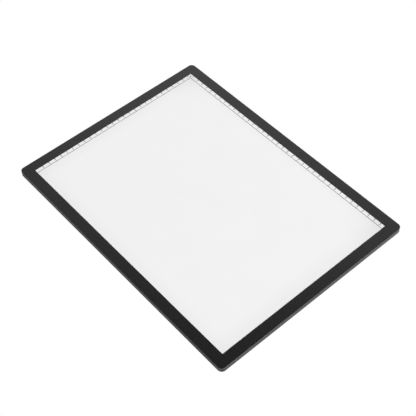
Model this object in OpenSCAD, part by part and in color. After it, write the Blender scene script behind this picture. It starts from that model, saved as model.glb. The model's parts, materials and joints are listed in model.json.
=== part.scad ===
// Flat LED light box for tracing: a framed translucent panel, edge-lit from both short sides.
// X runs along the long side, Y along the short side, +Z is up. The origin is the middle of the
// underside, at the level that the rubber feet stand on.

/* [Casing] */
// Length of the casing, along X
case_length = 415; // [360:1:480]
// Width of the casing, along Y
case_width = 310; // [260:1:360]
// Height of the casing above its feet
case_height = 8; // [8:0.1:9]
// Radius of the casing's four corners, seen from above
corner_radius = 6.5; // [4:0.5:8]
// Thickness of the side walls
wall = 1.8; // [1.7:0.1:2]
// Thickness of the back cover's floor
floor_thickness = 1.2; // [1.1:0.1:1.3]
// Width of the black bezel around the window
bezel_width = 15.5; // [15:0.5:18]
// Thickness of the bezel's lip over the panel
lip_thickness = 1.4; // [1.2:0.1:1.5]
// Radius of the rounded top edge
edge_radius = 0.3; // [0.2:0.1:0.9]
// Height that each foot stands out of the floor
foot_height = 1; // [0.8:0.1:2]
// Radius of a foot
foot_radius = 7; // [5:0.5:9]

/* [Light stack] */
// Thickness of the white sheet under the light guide
reflector_thickness = 0.3; // [0.2:0.1:0.4]
// Thickness of the clear light guide
guide_thickness = 3; // [2.8:0.1:3.1]
// Thickness of the diffuser above it
diffuser_thickness = 0.3; // [0.2:0.1:0.4]
// How far the light guide goes under the bezel on the short sides
guide_overlap = 7; // [6.5:0.1:7.2]
// How far the panel's flange goes under the bezel
flange_width = 5; // [3:0.5:5]
// Thickness of that flange
flange_thickness = 1.2; // [1:0.1:1.3]
// Gap around the panel in the window
window_gap = 0.15; // [0.1:0.05:0.3]

/* [Lighting] */
// Distance from one LED to the next
led_pitch = 7; // [5:0.5:10]
// Length that each LED strip stops short of the light guide's corners
strip_inset = 13.5; // [10:0.5:20]
// Diameter of the insulated wires to the strips
wire_diameter = 0.8; // [0.6:0.1:0.9]

/* [Controls] */
// Distance of the power inlet from the casing's left end
inlet_from_end = 42.5; // [42.5:0.5:43.5]
// Radius of the inlet's centre pin
inlet_pin_radius = 0.65; // [0.5:0.05:0.7]
// Distance of the power button from the casing's left end
button_from_end = 61.5; // [61:0.5:62]
// Length of the button's face
button_length = 7; // [6:0.5:7]
// Height of the button's face
button_height = 2.8; // [2.4:0.1:2.8]
// Travel of the button
button_travel = 0.7; // [0.4:0.1:0.8]

/* [Fasteners] */
// Screws along each long side
screws_per_side = 5; // [4:1:7]
// Radius of a case screw's shank
screw_radius = 1; // [0.9:0.05:1.05]
// Radius of a case screw's head
screw_head_radius = 1.9; // [1.6:0.1:2]

/* [Hidden] */
$fn = 64;

// heights of the layers, from the ground up
floor_bottom = foot_height;
floor_top = floor_bottom + floor_thickness;
guide_bottom = floor_top + reflector_thickness;
guide_top = guide_bottom + guide_thickness;
panel_bottom = guide_top + diffuser_thickness;
flange_top = panel_bottom + flange_thickness;
case_top = foot_height + case_height;
lip_bottom = case_top - lip_thickness;
seam_height = foot_height + case_height / 2;

// half sizes in the plane
half_length = case_length / 2;
half_width = case_width / 2;
inner_half_width = half_width - wall;
window_length = case_length - 2 * bezel_width;
window_width = case_width - 2 * bezel_width;
guide_length = window_length + 2 * guide_overlap;
guide_width = window_width + 2 * flange_width;

// seam between the two shells
tongue_height = 1.2;
tongue_thickness = 0.8;
shell_gap = 0.1;
seam_chamfer = 0.35;
bottom_chamfer = 0.3;

// screws and the bosses that they join
screw_row = inner_half_width - 3;
screw_reach = half_length - 9.5;
screw_spacing = 2 * screw_reach / (screws_per_side - 1);
screw_sink = 0.3;
screw_seat = floor_bottom + 1.4;
screw_tip = lip_bottom - 1;
pad_radius = 3.3;
pad_top = floor_top + 1.2;
boss_radius = 2.5;
running_gap = 0.05;

// feet sit in shallow pockets
foot_pocket = 0.4;
foot_reach = half_length - 27.5;
foot_row = half_width - 19;

// foam cushions between the light guide and the ribs in front of it
cushion_space = 1.9;
cushion_offset = screw_spacing / 2;

// LED strips, their bars and the wires
led_depth = 1;
led_length = 3;
led_height = 1.4;
led_gap = 0.2;
strip_thickness = 0.8;
strip_height = 3;
strip_length = guide_width - 2 * strip_inset;
led_count = floor((strip_length - 2 * led_length) / led_pitch) + 1;
channel_web = 1.2;
channel_foot = 2.6;
channel_height = 4;
wire_row = guide_width / 2 + 1.7;
wire_levels = [floor_top + 1.9, floor_top + 2.9];
wire_bend = 2;

// control board, standing just off the floor behind the bezel
board_left = -half_length + 21.5;
board_length = 66;
board_right = board_left + board_length;
board_front = guide_width / 2 + 0.7;
board_back = inner_half_width - 0.3;
board_thickness = 0.8;
board_bottom = floor_top + 0.6;
board_top = board_bottom + board_thickness;
connector_length = 5;
connector_width = 4.2;
connector_height = 3;
board_screw_inset = 3;
board_screw_row = inner_half_width - 2;
board_screw_radius = 0.7;

// power inlet, on the seam
inlet_x = -half_length + inlet_from_end;
jack_half_width = 2.7;
jack_half_height = 2.5;
jack_rear = inner_half_width - 6.1;
jack_face = inner_half_width - 0.1;
jack_nose_radius = 2.4;
jack_bore_radius = 1.9;
jack_bore_bottom = jack_rear + 1.5;
jack_pin_end = half_width - 0.8;
jack_cutout = 3;
wall_hole_gap = 0.2;

// push switch and button, on the seam
button_x = -half_length + button_from_end;
recess_depth = 0.6;
recess_rim = 1.4;
flange_rim = 0.8;
button_flange_front = inner_half_width - 0.3;
button_flange_back = button_flange_front - 0.7;
switch_half_length = 3.2;
switch_front = button_flange_back - button_travel - 0.3;
switch_rear = inner_half_width - 6.4;
plunger_radius = 0.9;
plunger_tip = switch_rear + 1.8;
switch_bore_bottom = plunger_tip - button_travel - 0.3;

// A flat slab, centred on X and Y, between two heights
module slab(length, width, bottom, top) {
    translate([-length / 2, -width / 2, bottom])
        cube([length, width, top - bottom]);
}

// A block given by its lowest corner and its highest corner
module block(low, high) {
    translate(low)
        cube(high - low);
}

// A cylinder along +Y, starting at the given point
module cylinder_along_y(start, length, radius) {
    translate(start)
        rotate([-90, 0, 0])
            cylinder(r = radius, h = length);
}

// Carries a profile around the casing's rounded outline. The profile's X is the distance from
// the centre of a corner, so corner_radius is the outer face, and its Y is the height.
module around_casing() {
    straight_x = case_length - 2 * corner_radius;
    straight_y = case_width - 2 * corner_radius;
    for (turn = [0, 180])
        rotate([0, 0, turn]) {
            translate([straight_x / 2, straight_y / 2, 0])
                rotate([90, 0, 0])
                    linear_extrude(straight_y)
                        children();
            translate([-straight_x / 2, straight_y / 2, 0])
                rotate([90, 0, 90])
                    linear_extrude(straight_x)
                        children();
            translate([straight_x / 2, straight_y / 2, 0])
                rotate_extrude(angle = 90)
                    children();
            translate([-straight_x / 2, straight_y / 2, 0])
                rotate([0, 0, 90])
                    rotate_extrude(angle = 90)
                        children();
        }
}

// Places its children at every case screw
module at_case_screws() {
    for (side = [-1, 1], i = [0 : screws_per_side - 1])
        translate([-screw_reach + i * screw_spacing, side * screw_row, 0])
            children();
}

// Places its children at both board screws
module at_board_screws() {
    for (x = [board_left + board_screw_inset, board_right - board_screw_inset])
        translate([x, board_screw_row, 0])
            children();
}

// An oval prism along Y, centred on the button
module button_oval(length, height, from_y, to_y) {
    translate([button_x, to_y, seam_height])
        rotate([90, 0, 0])
            linear_extrude(to_y - from_y) {
                square([length - height, height], center = true);
                for (side = [-1, 1])
                    translate([side * (length - height) / 2, 0])
                        circle(d = height);
            }
}

// What the side wall leaves open for the inlet and the button
module control_openings() {
    cylinder_along_y([inlet_x, inner_half_width - 1, seam_height], wall + 2,
                     jack_nose_radius + wall_hole_gap);
    button_oval(button_length + 2 * wall_hole_gap, button_height + 2 * wall_hole_gap,
                inner_half_width - 1, half_width + 1);
    // a shallow recess lets a fingertip press the flush button
    button_oval(button_length + 2 * recess_rim, button_height + 2 * recess_rim,
                half_width - recess_depth, half_width + 1);
}

module front_frame_profile() {
    inner = corner_radius - wall;
    difference() {
        union() {
            translate([0, lip_bottom])
                square([corner_radius, lip_thickness]);
            translate([inner, seam_height])
                square([wall, lip_bottom - seam_height]);
            translate([inner, seam_height - tongue_height])
                square([tongue_thickness, tongue_height]);
        }
        // rounded top edge
        translate([corner_radius - edge_radius, case_top - edge_radius])
            difference() {
                square(edge_radius + 1);
                circle(r = edge_radius);
            }
        // chamfer at the seam
        polygon([
            [corner_radius - seam_chamfer, seam_height],
            [corner_radius, seam_height + seam_chamfer],
            [corner_radius + 1, seam_height + seam_chamfer],
            [corner_radius + 1, seam_height - 1],
            [corner_radius - seam_chamfer, seam_height - 1]
        ]);
    }
}

module front_frame() {
    color([0.09, 0.09, 0.095])
    difference() {
        union() {
            around_casing()
                front_frame_profile();
            // the bezel inside the band that the corners turn
            difference() {
                slab(case_length - 2 * corner_radius, case_width - 2 * corner_radius,
                     lip_bottom, case_top);
                slab(window_length, window_width, lip_bottom - 1, case_top + 1);
            }
            at_case_screws()
                translate([0, 0, pad_top + shell_gap])
                    cylinder(r = boss_radius, h = lip_bottom - pad_top - shell_gap);
        }
        at_case_screws()
            translate([0, 0, pad_top])
                cylinder(r = screw_radius + running_gap, h = screw_tip + 0.3 - pad_top);
        control_openings();
    }
}

module back_cover_profile() {
    inner = corner_radius - wall;
    groove = inner + tongue_thickness + shell_gap;
    rim = seam_height - shell_gap / 2;
    groove_bottom = seam_height - tongue_height - shell_gap;
    polygon([
        [0, floor_bottom],
        [corner_radius - bottom_chamfer, floor_bottom],
        [corner_radius, floor_bottom + bottom_chamfer],
        [corner_radius, rim - seam_chamfer],
        [corner_radius - seam_chamfer, rim],
        [groove, rim],
        [groove, groove_bottom],
        [inner, groove_bottom],
        [inner, floor_top],
        [0, floor_top]
    ]);
}

module back_cover() {
    rib_length = 40;
    rib_thickness = 0.6;
    color([0.08, 0.08, 0.085])
    difference() {
        union() {
            around_casing()
                back_cover_profile();
            slab(case_length - 2 * corner_radius, case_width - 2 * corner_radius,
                 floor_bottom, floor_top);
            // pads under the screws, joined to the wall
            at_case_screws()
                translate([0, 0, floor_top - 0.1])
                    cylinder(r = pad_radius, h = pad_top - floor_top + 0.1);
            at_board_screws()
                translate([0, 0, floor_top - 0.1])
                    cylinder(r = 1.6, h = board_bottom - floor_top + 0.1);
            // ribs that locate the light guide
            for (side = [-1, 1], y = [guide_width / 2 + 0.2,
                                      -guide_width / 2 - cushion_space - rib_thickness])
                translate([side * cushion_offset - rib_length / 2, y, floor_top - 0.1])
                    cube([rib_length, rib_thickness, guide_thickness]);
        }
        at_case_screws() {
            translate([0, 0, floor_bottom - 1])
                cylinder(r = screw_head_radius + 0.2, h = screw_seat - floor_bottom + 1);
            translate([0, 0, floor_bottom])
                cylinder(r = screw_radius + 0.15, h = pad_top);
        }
        at_board_screws()
            translate([0, 0, floor_bottom + 0.5])
                cylinder(r = board_screw_radius + running_gap, h = board_top);
        for (x = [-1, 0, 1], y = [-1, 1])
            translate([x * foot_reach, y * foot_row, floor_bottom - 1])
                cylinder(r = foot_radius + 0.1, h = 1 + foot_pocket);
        control_openings();
    }
}

// The panel fills the window flush with the bezel, and its flange holds it under the lip
module work_panel() {
    color([0.93, 0.93, 0.93])
    union() {
        slab(window_length - 2 * window_gap, window_width - 2 * window_gap, panel_bottom, case_top);
        slab(window_length + 2 * flange_width, guide_width, panel_bottom, flange_top);
    }
}

module window_gasket() {
    rim = 0.6;
    color([0.15, 0.15, 0.16])
    difference() {
        slab(window_length + 2 * flange_width, guide_width, flange_top, lip_bottom);
        slab(window_length + 2 * rim, window_width + 2 * rim, flange_top - 1, lip_bottom + 1);
    }
}

module diffuser_sheet() {
    color([0.96, 0.96, 0.96])
    slab(guide_length, guide_width, guide_top, panel_bottom);
}

module light_guide_plate() {
    color([0.85, 0.92, 0.93, 0.6])
    slab(guide_length, guide_width, guide_bottom, guide_top);
}

module reflector_sheet() {
    color([0.98, 0.98, 0.98])
    slab(guide_length, guide_width, floor_top, guide_bottom);
}

// Strip, LEDs and bar are drawn for the right end, and mirrored for the left
module led_strip() {
    back = guide_length / 2 + led_gap + led_depth;
    color("white")
    block([back, -strip_length / 2, guide_bottom],
          [back + strip_thickness, strip_length / 2, guide_bottom + strip_height]);
}

module leds() {
    face = guide_length / 2 + led_gap;
    middle = guide_bottom + strip_height / 2;
    frame = 0.2;
    color([0.95, 0.9, 0.6])
    for (i = [0 : led_count - 1]) {
        y = (i - (led_count - 1) / 2) * led_pitch;
        difference() {
            block([face, y - led_length / 2, middle - led_height / 2],
                  [face + led_depth, y + led_length / 2, middle + led_height / 2]);
            // the window that the light leaves by
            block([face - 1, y - led_length / 2 + frame, middle - led_height / 2 + frame],
                  [face + frame, y + led_length / 2 - frame, middle + led_height / 2 - frame]);
        }
    }
}

module led_channel() {
    web = guide_length / 2 + led_gap + led_depth + strip_thickness;
    end = strip_length / 2;
    color("silver")
    union() {
        block([web, -end, floor_top], [web + channel_web, end, floor_top + channel_height]);
        block([web, -end, floor_top], [web + channel_web + channel_foot, end, floor_top + 1]);
    }
}

module guide_cushions() {
    cushion_length = 30;
    color([0.2, 0.2, 0.2])
    for (side = [-1, 1])
        translate([side * cushion_offset - cushion_length / 2,
                   -guide_width / 2 - cushion_space + 0.1, floor_top])
            cube([cushion_length, cushion_space - 0.2, guide_thickness]);
}

module control_board() {
    color([0.05, 0.35, 0.2])
    difference() {
        block([board_left, board_front, board_bottom], [board_right, board_back, board_top]);
        // the inlet sits in this cut-out
        block([inlet_x - jack_cutout, jack_rear - 0.2, board_bottom - 1],
              [inlet_x + jack_cutout, board_back + 1, board_top + 1]);
        // the button's flange moves in this one
        block([button_x - button_length / 2 - flange_rim - 0.7, switch_front, board_bottom - 1],
              [button_x + button_length / 2 + flange_rim + 0.7, board_back + 1, board_top + 1]);
        at_board_screws()
            translate([0, 0, board_bottom - 1])
                cylinder(r = board_screw_radius + 0.2, h = board_thickness + 2);
    }
}

module insulation_film() {
    color([0.85, 0.75, 0.3])
    difference() {
        block([board_left, board_front, floor_top], [board_right, board_back, floor_top + 0.15]);
        at_board_screws()
            translate([0, 0, floor_top - 1])
                cylinder(r = 1.8, h = 2);
    }
}

module driver_chip() {
    chip_x = button_x + 8;
    chip_y = board_front + 3.8;
    legs = 4;
    color([0.1, 0.1, 0.1])
    union() {
        block([chip_x - 2.5, chip_y - 2, board_top + 0.1], [chip_x + 2.5, chip_y + 2, board_top + 1.5]);
        for (i = [0 : legs - 1], side = [-1, 1])
            translate([chip_x - 1.9 + i * 1.27 - 0.2, chip_y + side * 2.4 - 0.5, board_top])
                cube([0.4, 1, 0.25]);
    }
}

module inductor() {
    side = 6;
    color([0.25, 0.25, 0.27])
    translate([board_left + 9.5, board_front + 3.8, board_top]) {
        slab(side, side, 0, 0.6);
        cylinder(r = 2.4, h = 2.2);
        translate([0, 0, 2.2])
            cylinder(r = 2.8, h = 0.5);
    }
}

module capacitors() {
    radius = 1.9;
    color([0.75, 0.75, 0.78])
    for (x = [inlet_x + 7.1, inlet_x + 11.4])
        translate([x, board_front + 3.6, board_top]) {
            slab(2 * radius, 2 * radius, 0, 0.5);
            cylinder(r = radius, h = 3.2);
        }
}

module resistors() {
    color([0.12, 0.12, 0.14])
    for (i = [0 : 2])
        translate([button_x + 13 + 2 * i, board_front + 3, board_top])
            cube([1, 2, 0.5]);
}

module wire_connectors() {
    color([0.93, 0.91, 0.85])
    for (x = [board_left, board_right - connector_length])
        block([x, board_front + 0.2, board_top],
              [x + connector_length, board_front + 0.2 + connector_width,
               board_top + connector_height]);
}

module dc_jack_housing() {
    leaf_slot = 0.9;
    color([0.12, 0.12, 0.12])
    difference() {
        union() {
            block([inlet_x - jack_half_width, jack_rear, seam_height - jack_half_height],
                  [inlet_x + jack_half_width, jack_face, seam_height + jack_half_height]);
            cylinder_along_y([inlet_x, jack_face - 0.1, seam_height], half_width - jack_face + 0.1,
                             jack_nose_radius);
            // ears that rest on the board
            block([inlet_x - jack_cutout - 1.2, jack_rear + 0.9, board_top],
                  [inlet_x + jack_cutout + 1.2, jack_rear + 2.9, board_top + 0.6]);
        }
        cylinder_along_y([inlet_x, jack_bore_bottom, seam_height],
                         half_width - jack_bore_bottom + 1, jack_bore_radius);
        cylinder_along_y([inlet_x, jack_rear - 1, seam_height], 5, 1 + 0.02);
        // slot for the spring contact
        block([inlet_x - leaf_slot, jack_rear - 1, seam_height - 2.2],
              [inlet_x + leaf_slot, half_width - 1.2, seam_height - 1.5]);
    }
}

module dc_jack_pin() {
    color("silver")
    union() {
        cylinder_along_y([inlet_x, jack_rear - 0.5, seam_height], jack_bore_bottom - jack_rear + 0.5, 1);
        cylinder_along_y([inlet_x, jack_bore_bottom - 0.1, seam_height],
                         jack_pin_end - jack_bore_bottom + 0.1, inlet_pin_radius);
        // tapered tip
        translate([inlet_x, jack_pin_end, seam_height])
            rotate([-90, 0, 0])
                cylinder(r1 = inlet_pin_radius, r2 = inlet_pin_radius / 2, h = 0.3);
    }
}

module dc_jack_spring() {
    half = 0.8;
    color("gold")
    block([inlet_x - half, jack_rear - 0.1, seam_height - 2.1],
          [inlet_x + half, half_width - 1.4, seam_height - 1.75]);
}

module switch_body() {
    color([0.15, 0.15, 0.15])
    difference() {
        block([button_x - switch_half_length, switch_rear, board_top],
              [button_x + switch_half_length, switch_front, 2 * seam_height - board_top]);
        cylinder_along_y([button_x, switch_bore_bottom, seam_height],
                         switch_front - switch_bore_bottom + 1, plunger_radius + 0.1);
    }
}

// The snap dome, drawn as it lies when pressed flat
module switch_dome() {
    color("silver")
    translate([button_x, switch_bore_bottom, seam_height])
        rotate([-90, 0, 0])
            cylinder(r1 = plunger_radius, r2 = plunger_radius / 2, h = 0.2);
}

module switch_plunger() {
    color([0.8, 0.8, 0.75])
    cylinder_along_y([button_x, plunger_tip, seam_height], button_flange_back - plunger_tip,
                     plunger_radius);
}

module power_button() {
    color([0.16, 0.16, 0.17])
    union() {
        button_oval(button_length, button_height, button_flange_front - 0.1, half_width);
        button_oval(button_length + 2 * flange_rim, button_height + 2 * flange_rim,
                    button_flange_back, button_flange_front);
    }
}

// Two wires from a connector's end, along the channel and round the corner to a strip's end.
// They are drawn towards the right end; start is where they leave the connector.
module wires(start) {
    strip_middle = guide_length / 2 + led_gap + led_depth + strip_thickness / 2;
    turn_x = strip_middle - wire_bend;
    turn_y = wire_row - wire_bend;
    for (level = wire_levels) {
        translate([start, wire_row, level])
            rotate([0, 90, 0])
                cylinder(d = wire_diameter, h = turn_x - start);
        translate([turn_x, turn_y, level])
            rotate_extrude(angle = 90)
                translate([wire_bend, 0])
                    circle(d = wire_diameter);
        translate([strip_middle, turn_y, level])
            rotate([90, 0, 0])
                cylinder(d = wire_diameter, h = turn_y - strip_length / 2);
    }
}

module wires_left() {
    color([0.7, 0.1, 0.1])
    mirror([1, 0, 0])
        wires(-board_left);
}

module wires_right() {
    color([0.7, 0.1, 0.1])
    wires(board_right);
}

// A pan-head screw standing on its head, with a cross recess
module screw(head_radius, head_height, shank_radius, shank_length) {
    slot_width = head_radius / 3;
    difference() {
        union() {
            cylinder(r = head_radius, h = head_height);
            cylinder(r = shank_radius, h = head_height + shank_length);
        }
        for (turn = [0, 90])
            rotate([0, 0, turn])
                slab(1.3 * head_radius, slot_width, -1, head_height / 2);
    }
}

module case_screws() {
    head_height = screw_seat - floor_bottom - screw_sink;
    color("dimgray")
    at_case_screws()
        translate([0, 0, screw_seat - head_height])
            screw(screw_head_radius, head_height, screw_radius, screw_tip - screw_seat);
}

module board_screws() {
    head_height = 0.8;
    color("silver")
    at_board_screws()
        translate([0, 0, board_top + head_height])
            mirror([0, 0, 1])
                screw(1.4, head_height, board_screw_radius, board_top - floor_bottom - 0.6);
}

module foot(column, row) {
    chamfer = 0.3;
    color([0.2, 0.2, 0.2])
    translate([column * foot_reach, row * foot_row, 0]) {
        cylinder(r1 = foot_radius - chamfer, r2 = foot_radius, h = chamfer);
        translate([0, 0, chamfer])
            cylinder(r = foot_radius, h = foot_height + foot_pocket - chamfer);
    }
}

front_frame();
back_cover();
work_panel();
window_gasket();
diffuser_sheet();
light_guide_plate();
reflector_sheet();
mirror([1, 0, 0]) led_strip();  // led_strip_left
led_strip();  // led_strip_right
mirror([1, 0, 0]) leds();  // leds_left
leds();  // leds_right
mirror([1, 0, 0]) led_channel();  // led_channel_left
led_channel();  // led_channel_right
guide_cushions();
control_board();
insulation_film();
driver_chip();
inductor();
capacitors();
resistors();
wire_connectors();
dc_jack_housing();
dc_jack_pin();
dc_jack_spring();
switch_body();
switch_dome();
switch_plunger();
power_button();
wires_left();
wires_right();
board_screws();
case_screws();
foot(-1, -1);  // foot_front_left
foot(0, -1);  // foot_front_middle
foot(1, -1);  // foot_front_right
foot(-1, 1);  // foot_back_left
foot(0, 1);  // foot_back_middle
foot(1, 1);  // foot_back_right
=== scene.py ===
import json
import math

import bmesh
import bpy
from mathutils import Matrix, Vector


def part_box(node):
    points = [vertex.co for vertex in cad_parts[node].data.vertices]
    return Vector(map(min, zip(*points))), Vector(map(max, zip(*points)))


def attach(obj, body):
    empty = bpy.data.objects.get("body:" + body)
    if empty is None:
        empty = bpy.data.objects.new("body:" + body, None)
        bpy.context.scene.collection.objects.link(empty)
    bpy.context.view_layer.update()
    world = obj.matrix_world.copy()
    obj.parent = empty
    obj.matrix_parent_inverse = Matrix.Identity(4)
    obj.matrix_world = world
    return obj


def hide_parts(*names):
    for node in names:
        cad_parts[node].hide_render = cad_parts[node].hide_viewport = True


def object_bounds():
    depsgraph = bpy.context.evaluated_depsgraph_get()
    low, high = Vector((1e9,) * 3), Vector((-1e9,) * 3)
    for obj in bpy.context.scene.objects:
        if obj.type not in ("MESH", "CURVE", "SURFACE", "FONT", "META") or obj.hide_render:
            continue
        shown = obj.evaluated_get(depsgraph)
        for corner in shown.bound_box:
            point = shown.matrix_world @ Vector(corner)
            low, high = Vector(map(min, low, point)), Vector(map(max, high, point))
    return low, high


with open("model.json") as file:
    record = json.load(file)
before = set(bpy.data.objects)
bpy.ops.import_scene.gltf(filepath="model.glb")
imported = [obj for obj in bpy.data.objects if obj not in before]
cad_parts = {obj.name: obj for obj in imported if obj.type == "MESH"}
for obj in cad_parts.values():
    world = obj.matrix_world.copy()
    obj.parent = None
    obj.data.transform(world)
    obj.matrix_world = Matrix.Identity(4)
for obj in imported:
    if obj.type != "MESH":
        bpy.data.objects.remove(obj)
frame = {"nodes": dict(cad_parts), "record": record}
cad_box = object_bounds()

MM = 0.001
ROOT = "root"
BUTTON = "button"
NODES = frame["nodes"]
# edges that bend less than this are shaded smooth, and are not rounded
SMOOTH_BELOW = math.radians(35)
# faces that bend less than this against each other are one flat face
FLAT_BELOW = math.radians(0.5)
# points closer than this are one point
SAME_POINT = 0.001 * MM

# ---------------------------------------------------------------- sizes

panel_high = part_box("work_panel")[1]
frame_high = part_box("front_frame")[1]
PANEL_FLANGE = 5 * MM
WINDOW_X = panel_high.x - PANEL_FLANGE
WINDOW_Y = panel_high.y - PANEL_FLANGE
TOP = panel_high.z

# printed scales, measured from the edges of the window
TICK_PITCH = 10 * MM
TICK_WIDTH = 0.85 * MM
TICK_START = 0.2 * MM
TICK_END = 3 * MM
LINE_PLACE = 5.85 * MM
LINE_WIDTH = 0.65 * MM
NUMBER_PLACE = 4.25 * MM
NUMBER_SIZE = 2.1 * MM
ZERO_PLACE = 3.7 * MM
ZERO_SIZE = 4.2 * MM
ZERO_WEIGHT = 0.15 * MM
INK_THICKNESS = 0.02 * MM
LONG_SCALE = {"count": 37, "first": 7.65 * MM, "length": 2 * WINDOW_X}
SHORT_SCALE = {"count": 26, "first": 7.0 * MM, "length": 2 * WINDOW_Y}

# power button
BUTTON_HEIGHT = 2.8 * MM
BUTTON_FLANGE = 0.7 * MM
BUTTON_ROUNDING = 0.25 * MM
BUTTON_DISH = 0.08 * MM

# floor
FLOOR_GLOW = 0.08
FLOOR_WHITE = 1.005
FLOOR_RADIUS = 14


# ---------------------------------------------------------------- mesh helpers

def new_object(name, data):
    """Links a mesh, curve, lamp or camera into the scene."""
    made = bpy.data.objects.new(name, data)
    bpy.context.scene.collection.objects.link(made)
    return made


def piece_from(built, name, slot, body):
    """Turns a bmesh into a finished piece that rides on a body."""
    bmesh.ops.recalc_face_normals(built, faces=built.faces)
    mesh = bpy.data.meshes.new(name)
    built.to_mesh(mesh)
    built.free()
    mesh.shade_smooth()
    mesh.set_sharp_from_angle(angle=SMOOTH_BELOW)
    mesh.materials.append(MATERIALS[slot])
    piece = new_object(name, mesh)
    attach(piece, body)
    return piece


def round_edges(obj, width):
    """Rounds an object's sharp edges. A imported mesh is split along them, and cut into triangles, so
    it is first joined up again."""
    joined = obj.modifiers.new("joined", "WELD")
    joined.merge_threshold = SAME_POINT
    whole_faces = obj.modifiers.new("whole_faces", "DECIMATE")
    whole_faces.decimate_type = "DISSOLVE"
    whole_faces.angle_limit = FLAT_BELOW
    rounded = obj.modifiers.new("rounded", "BEVEL")
    rounded.width = width
    rounded.segments = 2
    rounded.limit_method = "ANGLE"
    rounded.angle_limit = SMOOTH_BELOW
    shaded = obj.modifiers.new("even_shading", "WEIGHTED_NORMAL")
    shaded.weight = 100


def add_box(built, low, high):
    """Adds a closed box."""
    low, high = Vector(low), Vector(high)
    place = Matrix.Translation((low + high) / 2) @ Matrix.Diagonal((*(high - low), 1))
    bmesh.ops.create_cube(built, size=1, matrix=place)


def add_loft(built, rings):
    """Joins rings of points with faces, and closes the two ends. A ring of one point is a tip."""
    made = [[built.verts.new(point) for point in ring] for ring in rings]
    for lower, upper in zip(made, made[1:]):
        count = max(len(lower), len(upper))
        for index in range(count):
            corners = []
            for ring, step in ((lower, index), (lower, index + 1), (upper, index + 1), (upper, index)):
                corner = ring[step % len(ring)]
                if corner not in corners:
                    corners.append(corner)
            built.faces.new(corners)
    for ring in (made[0], made[-1]):
        if len(ring) > 2:
            built.faces.new(ring)


def add_turned(built, profile, centre, steps=64):
    """Turns a profile of (radius, height) points about a vertical line."""
    rings = []
    for radius, height in profile:
        angles = [2 * math.pi * step / steps for step in range(steps if radius else 1)]
        rings.append([centre + Vector((radius * math.cos(angle), radius * math.sin(angle), height))
                      for angle in angles])
    add_loft(built, rings)


def arc(centre_radius, centre_height, radius, start, end, steps=6):
    """Profile points along an arc; angles are in degrees, from the outward direction."""
    points = []
    for step in range(steps + 1):
        angle = math.radians(start + (end - start) * step / steps)
        points.append((centre_radius + radius * math.cos(angle),
                       centre_height + radius * math.sin(angle)))
    return points


# ---------------------------------------------------------------- materials

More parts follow.
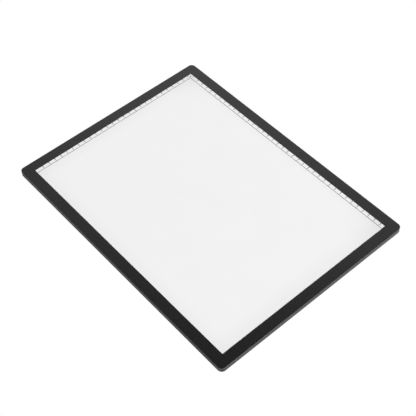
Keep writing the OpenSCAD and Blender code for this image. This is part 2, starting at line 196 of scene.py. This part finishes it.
class Shader:
    """A principled material, with helpers for the procedural nodes that feed it."""

    def __init__(self, name, colour, roughness, **inputs):
        self.material = bpy.data.materials.new(name)
        self.material.use_nodes = True
        self.nodes = self.material.node_tree.nodes
        self.links = self.material.node_tree.links
        self.bsdf = self.nodes["Principled BSDF"]
        self.bsdf.inputs["Base Color"].default_value = (*colour, 1)
        self.bsdf.inputs["Roughness"].default_value = roughness
        for key, value in inputs.items():
            self.bsdf.inputs[key.replace("_", " ")].default_value = value
        self.place = self.nodes.new("ShaderNodeTexCoord").outputs["Object"]

    def feed(self, socket, value):
        """Sets an input, or links it if the value is another node's output."""
        if isinstance(value, bpy.types.NodeSocket):
            self.links.new(value, socket)
        else:
            socket.default_value = value

    def noise(self, size, detail=3.0, stretch=(1.0, 1.0, 1.0)):
        """Noise whose features are about this size, in metres."""
        mapping = self.nodes.new("ShaderNodeMapping")
        self.feed(mapping.inputs["Vector"], self.place)
        mapping.inputs["Scale"].default_value = stretch
        node = self.nodes.new("ShaderNodeTexNoise")
        self.feed(node.inputs["Vector"], mapping.outputs["Vector"])
        node.inputs["Scale"].default_value = 1 / size
        node.inputs["Detail"].default_value = detail
        return node.outputs["Fac"]

    def cells(self, size, randomness=1.0, flat=False):
        """Distance to the nearest of points about this far apart, in metres."""
        node = self.nodes.new("ShaderNodeTexVoronoi")
        node.voronoi_dimensions = "2D" if flat else "3D"
        self.feed(node.inputs["Vector"], self.place)
        node.inputs["Scale"].default_value = 1 / size
        node.inputs["Randomness"].default_value = randomness
        return node.outputs["Distance"]

    def math(self, operation, a, b=0.0, clamp=False):
        """Arithmetic on two values, or on one for operations that take one."""
        node = self.nodes.new("ShaderNodeMath")
        node.operation = operation
        node.use_clamp = clamp
        self.feed(node.inputs[0], a)
        self.feed(node.inputs[1], b)
        return node.outputs[0]

    def spread(self, value, low, high, to_low=0.0, to_high=1.0, smooth=True):
        """Maps a value's range onto another, and clamps it there."""
        node = self.nodes.new("ShaderNodeMapRange")
        node.interpolation_type = "SMOOTHSTEP" if smooth else "LINEAR"
        self.feed(node.inputs["Value"], value)
        for name, number in (("From Min", low), ("From Max", high),
                             ("To Min", to_low), ("To Max", to_high)):
            node.inputs[name].default_value = number
        return node.outputs["Result"]

    def vary(self, noise, low=0.0, high=1.0):
        """Maps noise, which mostly lies between 0.3 and 0.7, onto a range."""
        return self.spread(noise, 0.3, 0.7, low, high)

    def blend(self, factor, a, b):
        """Mixes two colours."""
        node = self.nodes.new("ShaderNodeMix")
        node.data_type = "RGBA"
        colours = [socket for socket in node.inputs if socket.type == "RGBA"]
        self.feed(node.inputs["Factor"], factor)
        self.feed(colours[0], a)
        self.feed(colours[1], b)
        return next(socket for socket in node.outputs if socket.type == "RGBA")

    def axes(self):
        """The place on the object, as separate X, Y and Z in metres."""
        node = self.nodes.new("ShaderNodeSeparateXYZ")
        self.feed(node.inputs["Vector"], self.place)
        return node.outputs["X"], node.outputs["Y"], node.outputs["Z"]

    def facing(self, axis, both_ways=False):
        """1 on surfaces that face along an axis, 0 on the others."""
        geometry = self.nodes.new("ShaderNodeNewGeometry")
        node = self.nodes.new("ShaderNodeSeparateXYZ")
        self.feed(node.inputs["Vector"], geometry.outputs["Normal"])
        along = node.outputs[axis]
        return self.spread(self.math("ABSOLUTE", along) if both_ways else along, 0.8, 0.98)

    def bump(self, height, strength, depth, under=None):
        """A bump of this depth, in metres, on top of another bump if there is one."""
        node = self.nodes.new("ShaderNodeBump")
        node.inputs["Strength"].default_value = strength
        node.inputs["Distance"].default_value = depth
        self.feed(node.inputs["Height"], height)
        if under:
            self.feed(node.inputs["Normal"], under)
        return node.outputs["Normal"]

    def finish(self, colour, roughness, normal):
        """Feeds the surface's three main inputs and gives the material."""
        self.feed(self.bsdf.inputs["Base Color"], colour)
        self.feed(self.bsdf.inputs["Roughness"], roughness)
        self.feed(self.bsdf.inputs["Normal"], normal)
        return self.material


def scaled(colour, factor):
    """A colour made lighter or darker, with its alpha."""
    return (*(min(1, channel * factor) for channel in colour), 1)


def moulded_black():
    """Black plastic with a fine spark-eroded grain, faint mottling, a little dust on top, and a painted
    highlight along the top outer edges, broken up in scuffed patches where the edges are also rubbed
    smoother."""
    colour = (0.0035, 0.0035, 0.0036)
    highlight_band_width = 0.8 * MM
    shader = Shader("moulded_black", colour, 0.31, IOR=1.49)
    x, y, z = shader.axes()
    grain = shader.math("ADD", shader.cells(0.45 * MM), shader.noise(0.25 * MM, 2))
    flecks = shader.noise(1.1 * MM, 2)
    patches = shader.noise(50 * MM, 2)
    normal = shader.bump(flecks, 0.5, 0.07 * MM, shader.bump(grain, 0.4, 0.03 * MM))
    # the pale band along the top outer edges is a painted highlight, broken up in scuffed patches that
    # are also rubbed smoother
    past_x = shader.spread(shader.math("ABSOLUTE", x), frame_high.x - highlight_band_width, frame_high.x)
    past_y = shader.spread(shader.math("ABSOLUTE", y), frame_high.y - highlight_band_width, frame_high.y)
    below_top = shader.math("ABSOLUTE", shader.math("SUBTRACT", z, TOP))
    near_top = shader.spread(below_top, 0.2 * MM, highlight_band_width, 1.0, 0.0)
    scuffs = shader.spread(shader.noise(9 * MM, 5), 0.45, 0.7, 0.1, 1.0)
    edge_highlight_and_wear = shader.math("MULTIPLY", scuffs,
                         shader.math("MULTIPLY", near_top, shader.math("MAXIMUM", past_x, past_y)))
    dust = shader.math("MULTIPLY", shader.facing("Z"),
                       shader.spread(shader.noise(0.9 * MM, 2), 0.73, 0.8, 0.0, 0.35))
    tone = shader.blend(shader.vary(flecks), scaled(colour, 0.7), scaled(colour, 1.3))
    tone = shader.blend(shader.vary(patches, 0.0, 0.3), tone, scaled(colour, 1.3))
    # painted highlight: the top outer edges made paler
    tone = shader.blend(edge_highlight_and_wear, tone, scaled(colour, 2.4))
    tone = shader.blend(dust, tone, (0.1, 0.1, 0.1, 1))
    rough = shader.math("ADD", shader.vary(flecks, 0.265, 0.35),
                        shader.math("MULTIPLY", edge_highlight_and_wear, -0.1), clamp=True)
    return shader.finish(tone, rough, normal)


def milky_acrylic():
    """White translucent acrylic, with painted shade that makes it a little less bright towards the
    window's edges, towards the back and in its two back corners."""
    colour = (0.83, 0.83, 0.83)
    deepest_painted_shade = 0.85
    shader = Shader("milky_acrylic", colour, 0.34, IOR=1.49)
    x, y, _ = shader.axes()
    from_side = shader.math("SUBTRACT", WINDOW_X, shader.math("ABSOLUTE", x))
    from_end = shader.math("SUBTRACT", WINDOW_Y, shader.math("ABSOLUTE", y))
    from_back = shader.math("SUBTRACT", WINDOW_Y, y)
    # painted shade in the two back corners
    corner = shader.math("MULTIPLY", shader.spread(from_side, 0.0, 60 * MM, 0.25, 0.0),
                         shader.spread(from_back, 0.0, 60 * MM, 0.25, 0.0))
    # painted shade: a little darker towards the window's edges and towards the back
    painted_shade = shader.math("MULTIPLY", shader.spread(from_side, 0.0, 26 * MM, 0.95, 1.0),
                       shader.spread(from_end, 0.0, 20 * MM, 0.965, 1.0))
    painted_shade = shader.math("MULTIPLY", painted_shade, shader.spread(y, -WINDOW_Y, WINDOW_Y, 1.0, 0.975, smooth=False))
    painted_shade = shader.math("SUBTRACT", painted_shade, corner)
    clouds = shader.vary(shader.noise(45 * MM, 2), 0.992, 1.0)
    level = shader.spread(shader.math("MULTIPLY", painted_shade, clouds), deepest_painted_shade, 1.0, smooth=False)
    tone = shader.blend(level, scaled(colour, deepest_painted_shade), (*colour, 1))
    rough = shader.vary(shader.noise(14 * MM, 2, stretch=(0.25, 1.0, 1.0)), 0.32, 0.36)
    return shader.finish(tone, rough, shader.bump(shader.noise(0.6 * MM, 2), 0.05, 0.01 * MM))


def speckled(name, colour, roughness, grain=0.5, depth=0.02, contrast=0.12, **inputs):
    """A moulded or painted finish: fine grain, and mottled colour and roughness. The grain's size
    and depth are in millimetres."""
    shader = Shader(name, colour, roughness, **inputs)
    fine = shader.noise(grain * MM, 3)
    broad = shader.noise(grain * 14 * MM, 4)
    tone = shader.blend(shader.vary(broad),
                        scaled(colour, 1 - contrast), scaled(colour, 1 + contrast))
    rough = shader.math("ADD", shader.vary(fine, roughness - 0.05, roughness + 0.05),
                        shader.vary(broad, -0.03, 0.03), clamp=True)
    return shader.finish(tone, rough, shader.bump(fine, 0.3, depth * MM))


def drawn_metal(name, colour, roughness, along="X"):
    """Metal with fine drawn lines along an axis, and faint stains."""
    shader = Shader(name, colour, roughness, Metallic=1.0)
    stretch = tuple(0.03 if axis == along else 1.0 for axis in "XYZ")
    lines = shader.noise(0.3 * MM, 4, stretch=stretch)
    stains = shader.noise(8 * MM, 4)
    tone = shader.blend(shader.spread(stains, 0.35, 0.7), scaled(colour, 0.85), (*colour, 1))
    rough = shader.vary(lines, roughness - 0.08, roughness + 0.1)
    return shader.finish(tone, rough, shader.bump(lines, 0.2, 0.01 * MM))


def dotted_acrylic():
    """Clear light guide with a grid of printed white dots on its underside."""
    colour = (0.86, 0.93, 0.93)
    shader = Shader("dotted_acrylic", colour, 0.08, Transmission_Weight=0.4, IOR=1.49)
    _, _, z = shader.axes()
    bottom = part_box("light_guide_plate")[0].z
    underside = shader.spread(z, bottom + 0.05 * MM, bottom + 0.1 * MM, 1.0, 0.0)
    dots = shader.spread(shader.cells(1.5 * MM, randomness=0.0, flat=True), 0.22, 0.26, 1.0, 0.0)
    printed = shader.math("MULTIPLY", dots, underside)
    tone = shader.blend(printed, (*colour, 1), (0.95, 0.95, 0.95, 1))
    rough = shader.math("ADD", shader.vary(shader.noise(6 * MM, 3), 0.05, 0.12),
                        shader.math("MULTIPLY", printed, 0.5), clamp=True)
    return shader.finish(tone, rough, shader.bump(dots, 0.3, 0.01 * MM))


def led_package():
    """White LED packages, with yellow phosphor in the window that the light leaves by."""
    white = (0.8, 0.8, 0.78)
    # the window is sunk into the package, so it lies further from the box's middle than the rim does
    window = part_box("leds_right")[0].x + 0.15 * MM
    shader = Shader("led_package", white, 0.35)
    x, _, _ = shader.axes()
    lay = shader.noise(0.25 * MM, 3)
    phosphor = shader.math("MULTIPLY", shader.facing("X", both_ways=True),
                           shader.spread(shader.math("ABSOLUTE", x), window, window + 0.03 * MM))
    yellow = shader.blend(lay, (0.85, 0.6, 0.08, 1), (0.9, 0.7, 0.16, 1))
    package = shader.blend(lay, scaled(white, 0.95), (*white, 1))
    rough = shader.vary(lay, 0.3, 0.42)
    tone = shader.blend(phosphor, package, yellow)
    return shader.finish(tone, rough, shader.bump(lay, 0.2, 0.01 * MM))


def chip_resistor():
    """Dark resistors with tinned metal ends."""
    dark = (0.02, 0.02, 0.02)
    low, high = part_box("resistors")
    shader = Shader("chip_resistor", dark, 0.5)
    _, y, _ = shader.axes()
    from_middle = shader.math("ABSOLUTE", shader.math("SUBTRACT", y, (low.y + high.y) / 2))
    end_start = (high.y - low.y) / 2 - 0.4 * MM
    end = shader.spread(from_middle, end_start, end_start + 0.03 * MM)
    lay = shader.noise(0.15 * MM, 3)
    tinned = shader.blend(lay, (0.62, 0.62, 0.62, 1), (0.75, 0.75, 0.74, 1))
    shader.feed(shader.bsdf.inputs["Metallic"], end)
    tone = shader.blend(end, (*dark, 1), tinned)
    rough = shader.vary(lay, 0.3, 0.5)
    return shader.finish(tone, rough, shader.bump(lay, 0.2, 0.01 * MM))


def printed_ink(name, colour, worn_colour):
    """Screen-printed ink with a slightly uneven lay."""
    shader = Shader(name, colour, 0.55)
    lay = shader.noise(0.2 * MM, 4)
    tone = shader.blend(shader.spread(lay, 0.45, 0.85), (*colour, 1), (*worn_colour, 1))
    rough = shader.vary(lay, 0.5, 0.62)
    return shader.finish(tone, rough, shader.bump(lay, 0.2, 0.004 * MM))


MATERIALS = {
    "black_plastic": moulded_black(),
    "panel_acrylic": milky_acrylic(),
    "foam": speckled("closed_cell_foam", (0.03, 0.03, 0.03), 0.9, grain=0.8, depth=0.15),
    "diffuser_film": speckled("diffuser_film", (0.86, 0.86, 0.86), 0.6, grain=0.3, contrast=0.03),
    "clear_acrylic": dotted_acrylic(),
    "reflector_film": speckled("reflector_film", (0.9, 0.9, 0.9), 0.45, grain=0.4, contrast=0.03),
    "white_board": speckled("white_solder_mask", (0.8, 0.8, 0.78), 0.4, contrast=0.05),
    "led_phosphor": led_package(),
    "aluminium": drawn_metal("extruded_aluminium", (0.7, 0.7, 0.72), 0.35, along="Y"),
    "green_board": speckled("green_solder_mask", (0.02, 0.14, 0.05), 0.35, contrast=0.2),
    "amber_film": speckled("amber_film", (0.45, 0.2, 0.03), 0.25, contrast=0.1),
    "chip_resin": speckled("chip_resin", (0.02, 0.02, 0.02), 0.6, grain=0.2),
    "ferrite": speckled("ferrite", (0.06, 0.06, 0.065), 0.7, grain=0.3),
    "can_aluminium": drawn_metal("can_aluminium", (0.72, 0.72, 0.74), 0.3, along="Z"),
    "ivory_nylon": speckled("ivory_nylon", (0.68, 0.62, 0.48), 0.5),
    "jack_plastic": speckled("jack_plastic", (0.013, 0.013, 0.013), 0.4, grain=0.4),
    "plated_steel": drawn_metal("plated_steel", (0.62, 0.61, 0.58), 0.25),
    "contact_brass": drawn_metal("contact_brass", (0.75, 0.52, 0.2), 0.3),
    "button_plastic": speckled("button_plastic", (0.03, 0.03, 0.032), 0.38, grain=0.35),
    "wire_red": speckled("wire_insulation", (0.45, 0.02, 0.015), 0.4, contrast=0.1),
    "black_steel": drawn_metal("black_oxide_steel", (0.05, 0.05, 0.052), 0.42),
    "foot_rubber": speckled("foot_rubber", (0.018, 0.018, 0.018), 0.8, grain=0.6, depth=0.05),
    "copper": drawn_metal("enamelled_copper", (0.72, 0.28, 0.12), 0.28),
    "scale_ink": printed_ink("scale_ink", (0.02, 0.02, 0.022), (0.06, 0.06, 0.06)),
    "icon_ink": printed_ink("icon_ink", (0.62, 0.62, 0.62), (0.45, 0.45, 0.45)),
}

RESISTORS = chip_resistor()

# width of the small rounding on the edges of some CAD nodes
EDGE_ROUNDING = {
    "front_frame": 0.08 * MM, "work_panel": 0.05 * MM, "case_screws": 0.08 * MM,
    "board_screws": 0.08 * MM, "dc_jack_housing": 0.04 * MM, "switch_body": 0.12 * MM,
    "led_channel_left": 0.2 * MM, "led_channel_right": 0.2 * MM, "guide_cushions": 0.3 * MM,
    "capacitors": 0.25 * MM, "wire_connectors": 0.15 * MM, "resistors": 0.08 * MM,
}


def finish_cad_nodes():
    """Gives each CAD node the material of its slot, and rounds the edges of some."""
    for part in frame["record"]["subparts"]:
        node = NODES[part["node"]]
        material = RESISTORS if part["node"] == "resistors" else MATERIALS[part["material_slot"]]
        node.data.materials.clear()
        node.data.materials.append(material)
        if part["node"] in EDGE_ROUNDING:
            round_edges(node, EDGE_ROUNDING[part["node"]])


# ---------------------------------------------------------------- printed scales

def scale_point(along, inwards, is_long):
    """A place on a scale. Both start at the window's back left corner: the long one runs towards
    +X along the back edge, and the short one towards -Y along the left edge."""
    if is_long:
        return Vector((-WINDOW_X + along, WINDOW_Y - inwards, TOP))
    return Vector((-WINDOW_X + inwards, WINDOW_Y - along, TOP))


def add_ink_bar(built, start, end, is_long):
    """A thin printed bar between two (along, inwards) places on a scale."""
    a, b = scale_point(*start, is_long), scale_point(*end, is_long)
    low = (min(a.x, b.x), min(a.y, b.y), TOP)
    high = (max(a.x, b.x), max(a.y, b.y), TOP + INK_THICKNESS)
    add_box(built, low, high)


def add_number(built, number, size, place, turn=0.0, weight=0.0):
    """A printed number, centred on a place and turned about the vertical. Weight thickens it."""
    curve = bpy.data.curves.new("number", "FONT")
    curve.body = str(number)
    curve.size = size
    curve.align_x = "CENTER"
    curve.align_y = "CENTER"
    curve.offset = weight
    curve.resolution_u = 4
    curve.extrude = INK_THICKNESS / 2
    text = new_object("number", curve)
    mesh = bpy.data.meshes.new_from_object(text.evaluated_get(bpy.context.evaluated_depsgraph_get()))
    lift = Matrix.Translation(place + Vector((0, 0, INK_THICKNESS / 2)))
    mesh.transform(lift @ Matrix.Rotation(turn, 4, "Z"))
    built.from_mesh(mesh)
    bpy.data.objects.remove(text)
    bpy.data.curves.remove(curve)
    bpy.data.meshes.remove(mesh)


def remove_slivers(built):
    """Joins each triangle that is only a line to its neighbour across its longest edge."""
    slivers = [face for face in built.faces
               if len(face.verts) == 3 and face.calc_area() < SAME_POINT ** 2]
    longest = dict.fromkeys(max(face.edges, key=lambda edge: edge.calc_length()) for face in slivers)
    joined = bmesh.ops.dissolve_edges(built, edges=list(longest), use_verts=False)
    bmesh.ops.triangulate(built, faces=joined["region"])


def printed_scales():
    """Two centimetre scales: ticks against the bezel, numbers under them, and a line below."""
    lines = bmesh.new()
    numbers = bmesh.new()
    add_number(numbers, 0, ZERO_SIZE, scale_point(ZERO_PLACE, ZERO_PLACE, True), weight=ZERO_WEIGHT)
    for scale, is_long, turn in ((LONG_SCALE, True, 0), (SHORT_SCALE, False, math.pi / 2)):
        for tick in range(scale["count"] + 1):
            along = scale["first"] + tick * TICK_PITCH
            add_ink_bar(lines, (along - TICK_WIDTH / 2, TICK_START), (along + TICK_WIDTH / 2, TICK_END),
                        is_long)
            if tick:
                add_number(numbers, tick, NUMBER_SIZE, scale_point(along, NUMBER_PLACE, is_long), turn)
        # the short scale's line stops just short of the long one's, so that they don't touch
        start = LINE_PLACE - LINE_WIDTH / 2 if is_long else LINE_PLACE + LINE_WIDTH / 2 + INK_THICKNESS
        add_ink_bar(lines, (start, LINE_PLACE - LINE_WIDTH / 2),
                    (scale["length"] - TICK_START, LINE_PLACE + LINE_WIDTH / 2), is_long)
    bmesh.ops.remove_doubles(numbers, verts=numbers.verts, dist=SAME_POINT)
    bmesh.ops.dissolve_degenerate(numbers, edges=numbers.edges, dist=SAME_POINT)
    remove_slivers(numbers)
    piece_from(lines, "scale_lines", "scale_ink", ROOT)
    piece_from(numbers, "scale_numbers", "scale_ink", ROOT)


# ---------------------------------------------------------------- feet, button

def rubber_foot(node):
    """A moulded foot: a rounded rim, a flat tread with two grooves, and a dimple in the middle."""
    low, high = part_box(node)
    radius = (high.x - low.x) / 2
    height = high.z - low.z
    rim = 0.5 * MM
    groove = 0.25 * MM
    # from the middle outwards: the dimple, the two grooves, the rim and the glued face
    profile = [(0, 0.35 * MM), (1.2 * MM, 0.3 * MM), (1.7 * MM, 0)]
    for inner in (3.1 * MM, 4.7 * MM):
        profile += [(inner, 0), (inner + groove / 2, groove), (inner + groove * 2, groove),
                    (inner + groove * 2.5, 0)]
    profile += arc(radius - rim, rim, rim, -90, 0)
    profile += [(radius, height), (0, height)]
    built = bmesh.new()
    add_turned(built, profile, Vector(((low.x + high.x) / 2, (low.y + high.y) / 2, low.z)))
    piece = piece_from(built, node + "_moulded", "foot_rubber", ROOT)
    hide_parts(node)


def stadium(centre, half_straight, radius, y, steps=16):
    """Points round an oval with straight sides, in a plane across Y."""
    points = []
    for side, start in ((1, -90), (-1, 90)):
        for step in range(steps + 1):
            angle = math.radians(start + 180 * step / steps)
            points.append(Vector((centre.x + side * half_straight + radius * math.cos(angle),
                                  y, centre.z + radius * math.sin(angle))))
    return points


def power_button():
    """The button's oval face with a rounded rim, a shallow dish and a raised power symbol, on a
    flange that keeps it in the casing."""
    low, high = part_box("power_button")
    centre = (low + high) / 2
    half_straight = (high.x - low.x - (high.z - low.z)) / 2
    radius = BUTTON_HEIGHT / 2
    flange_radius = (high.z - low.z) / 2
    dish_rim = radius - 0.35 * MM
    dish_floor = dish_rim - 0.12 * MM
    profile = [(flange_radius, low.y), (flange_radius, low.y + BUTTON_FLANGE),
               (radius, low.y + BUTTON_FLANGE)]
    profile += arc(radius - BUTTON_ROUNDING, high.y - BUTTON_ROUNDING, BUTTON_ROUNDING, 0, 90)
    profile += [(dish_rim, high.y), (dish_floor, high.y - BUTTON_DISH)]
    built = bmesh.new()
    add_loft(built, [stadium(centre, half_straight, r, y) for r, y in profile])
    piece = piece_from(built, "power_button_moulded", "button_plastic", BUTTON)
    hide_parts("power_button")

    # a ring with a gap at its top, and a bar in the gap; it starts inside the dish's floor, and
    # stays just below the face's rim
    inlay = 0.02 * MM
    back = high.y - BUTTON_DISH - inlay
    front = high.y - inlay
    inner, outer = 0.42 * MM, 0.56 * MM
    gap = 38
    steps = 28
    symbol = bmesh.new()
    sections = []
    for step in range(steps + 1):
        angle = math.radians(90 + gap + (360 - 2 * gap) * step / steps)
        out = Vector((math.cos(angle), 0, math.sin(angle)))
        middle = Vector((centre.x, 0, centre.z - 0.1 * MM))
        sections.append([middle + out * r + Vector((0, y, 0))
                         for r, y in ((inner, back), (outer, back), (outer, front), (inner, front))])
    add_loft(symbol, sections)
    half_bar = 0.07 * MM
    add_box(symbol, (centre.x - half_bar, back, centre.z - 0.05 * MM),
            (centre.x + half_bar, front, centre.z + 0.62 * MM))
    piece_from(symbol, "power_button_symbol", "icon_ink", BUTTON)


# ---------------------------------------------------------------- details on the control board

def inductor_winding():
    """Turns of enamelled copper round the inductor's core."""
    low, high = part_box("inductor")
    wire = 0.16 * MM
    core = 2.4 * MM
    bottom = 0.62 * MM
    turns = 5
    profile = [(0, bottom), (core, bottom)]
    for turn in range(turns):
        profile += arc(core, bottom + wire * (2 * turn + 1), wire, -90, 90)[1:]
    profile.append((0, bottom + wire * 2 * turns))
    built = bmesh.new()
    add_turned(built, profile, Vector(((low.x + high.x) / 2, (low.y + high.y) / 2, low.z)), steps=48)
    piece_from(built, "inductor_winding", "copper", ROOT)


def driver_chip():
    """The chip's body, which tapers from its parting line and has a dimple by its first leg, and
    its bent legs."""
    low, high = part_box("driver_chip")
    centre = (low + high) / 2
    legs = 4
    leg_pitch = 1.27 * MM
    leg_width = 0.4 * MM
    leg_thickness = 0.15 * MM
    body_half = 2.0 * MM
    shoulder = low.z + 0.75 * MM
    per_side = 6
    dimple = Vector((low.x + 0.75 * MM, centre.y - body_half + 0.75 * MM, 0))
    rings = []
    # the body's outline from its underside to its top: how far it is set in, in mm, and its height
    for inset, level in ((0.12, low.z + 0.1 * MM), (0, shoulder - 0.2 * MM), (0, shoulder),
                         (0.12, high.z - 0.05 * MM), (0.17, high.z)):
        left, right = low.x + inset * MM, high.x - inset * MM
        front, back = centre.y - body_half + inset * MM, centre.y + body_half - inset * MM
        corners = [Vector((left, front, level)), Vector((right, front, level)),
                   Vector((right, back, level)), Vector((left, back, level))]
        rings.append([corner.lerp(following, step / per_side)
                      for corner, following in zip(corners, corners[1:] + corners[:1])
                      for step in range(per_side)])
    # the dimple's rim and floor, in mm
    for radius, depth in ((0.35, 0), (0.28, 0.05)):
        angles = [math.radians(225 + 90 * step / per_side) for step in range(4 * per_side)]
        rings.append([dimple + Vector((radius * MM * math.cos(angle), radius * MM * math.sin(angle),
                                       high.z - depth * MM)) for angle in angles])
    body = bmesh.new()
    add_loft(body, rings)
    piece = piece_from(body, "driver_chip_body", "chip_resin", ROOT)
    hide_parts("driver_chip")
    metal = bmesh.new()
    for side, end in ((-1, low.y), (1, high.y)):
        for leg in range(legs):
            x = centre.x + (leg - (legs - 1) / 2) * leg_pitch
            foot = low.z + leg_thickness
            route = [(body_half - 0.2 * MM, shoulder), (body_half + 0.25 * MM, shoulder),
                     (body_half + 0.4 * MM, foot), (abs(end - centre.y), foot)]
            sections = []
            for reach, level in route:
                y = centre.y + side * reach
                sections.append([Vector((x + across * leg_width / 2, y, level - down * leg_thickness))
                                 for across, down in ((-1, 1), (1, 1), (1, 0), (-1, 0))])
            add_loft(metal, sections)
    piece_from(metal, "driver_chip_legs", "plated_steel", ROOT)


# ---------------------------------------------------------------- floor, lights and camera

def plain_floor():
    """A wide pale floor that the box stands on. To the camera it is plain white without a shadow,
    as on a lit photo table; to everything else it is an ordinary pale surface."""
    colour = (0.9, 0.9, 0.9)
    shader = Shader("pale_floor", colour, 0.9, Emission_Color=(1, 1, 1, 1), Emission_Strength=FLOOR_GLOW)
    lay = shader.noise(0.3, 4)
    surface = shader.finish(shader.blend(lay, scaled(colour, 0.98), (*colour, 1)),
                            shader.vary(lay, 0.85, 0.95), shader.bump(lay, 0.05, MM))
    seen = shader.nodes.new("ShaderNodeLightPath")
    white = shader.nodes.new("ShaderNodeEmission")
    white.inputs["Strength"].default_value = FLOOR_WHITE
    mix = shader.nodes.new("ShaderNodeMixShader")
    shader.feed(mix.inputs["Fac"], seen.outputs["Is Camera Ray"])
    shader.feed(mix.inputs[1], shader.bsdf.outputs["BSDF"])
    shader.feed(mix.inputs[2], white.outputs["Emission"])
    shader.feed(shader.nodes["Material Output"].inputs["Surface"], mix.outputs["Shader"])
    built = bmesh.new()
    bmesh.ops.create_circle(built, cap_ends=True, radius=FLOOR_RADIUS, segments=128,
                            matrix=Matrix.Translation((0, 0, cad_box[0].z)))
    mesh = bpy.data.meshes.new("floor")
    built.to_mesh(mesh)
    built.free()
    mesh.materials.append(surface)
    new_object("floor", mesh)


def area_light(name, place, size, power):
    """A soft light that points at the middle of the box."""
    data = bpy.data.lights.new(name, "AREA")
    data.shape = "RECTANGLE"
    data.size, data.size_y = size
    data.energy = power
    lamp = new_object(name, data)
    lamp.location = place
    lamp.rotation_mode = "QUATERNION"
    lamp.rotation_quaternion = (-Vector(place)).to_track_quat("-Z", "Y")


def studio_world():
    """An even studio, bright round the horizon and darker overhead."""
    world = bpy.data.worlds.new("studio")
    bpy.context.scene.world = world
    world.use_nodes = True
    nodes = world.node_tree.nodes
    links = world.node_tree.links
    place = nodes.new("ShaderNodeTexCoord")
    split = nodes.new("ShaderNodeSeparateXYZ")
    ramp = nodes.new("ShaderNodeValToRGB")
    links.new(place.outputs["Generated"], split.inputs["Vector"])
    links.new(split.outputs["Z"], ramp.inputs["Fac"])
    links.new(ramp.outputs["Color"], nodes["Background"].inputs["Color"])
    # the sine of the height above the horizon, and the grey there
    levels = ((0.27, 1.0), (0.38, 0.72), (0.55, 0.25), (0.75, 0.02))
    stops = ramp.color_ramp.elements
    while len(stops) < len(levels):
        stops.new(0.5)
    for stop, (height, grey) in zip(stops, levels):
        stop.position = height
        stop.color = (grey, grey, grey, 1)


def photo_camera():
    """Looks down at the box from beyond its front right corner."""
    aim = Vector((16.4 * MM, -8.6 * MM, TOP))
    azimuth = math.radians(51.0)
    elevation = math.radians(51.35)
    roll = math.radians(-2.68)
    distance = 1.2441
    back = Vector((math.sin(azimuth) * math.cos(elevation),
                   -math.cos(azimuth) * math.cos(elevation), math.sin(elevation)))
    data = bpy.data.cameras.new("camera")
    data.sensor_width = 36
    data.lens = 82.15
    data.clip_start = 0.05
    camera = new_object("camera", data)
    camera.location = aim + back * distance
    camera.rotation_mode = "QUATERNION"
    level = (-back).to_track_quat("-Z", "Y").to_matrix()
    camera.rotation_quaternion = (level @ Matrix.Rotation(roll, 3, "Z")).to_quaternion()
    bpy.context.scene.camera = camera


bpy.context.scene.view_settings.view_transform = "Standard"
photo_camera()
studio_world()
plain_floor()
area_light("key", place=(5.4, 2.6, 7.6), size=(5.4, 5.4), power=945)
area_light("back_glow", place=(-3.2, 4.5, 4.3), size=(8.0, 4.5), power=114)

finish_cad_nodes()
printed_scales()
for foot in sorted(node for node in NODES if node.startswith("foot_")):
    rubber_foot(foot)
power_button()
inductor_winding()
driver_chip()
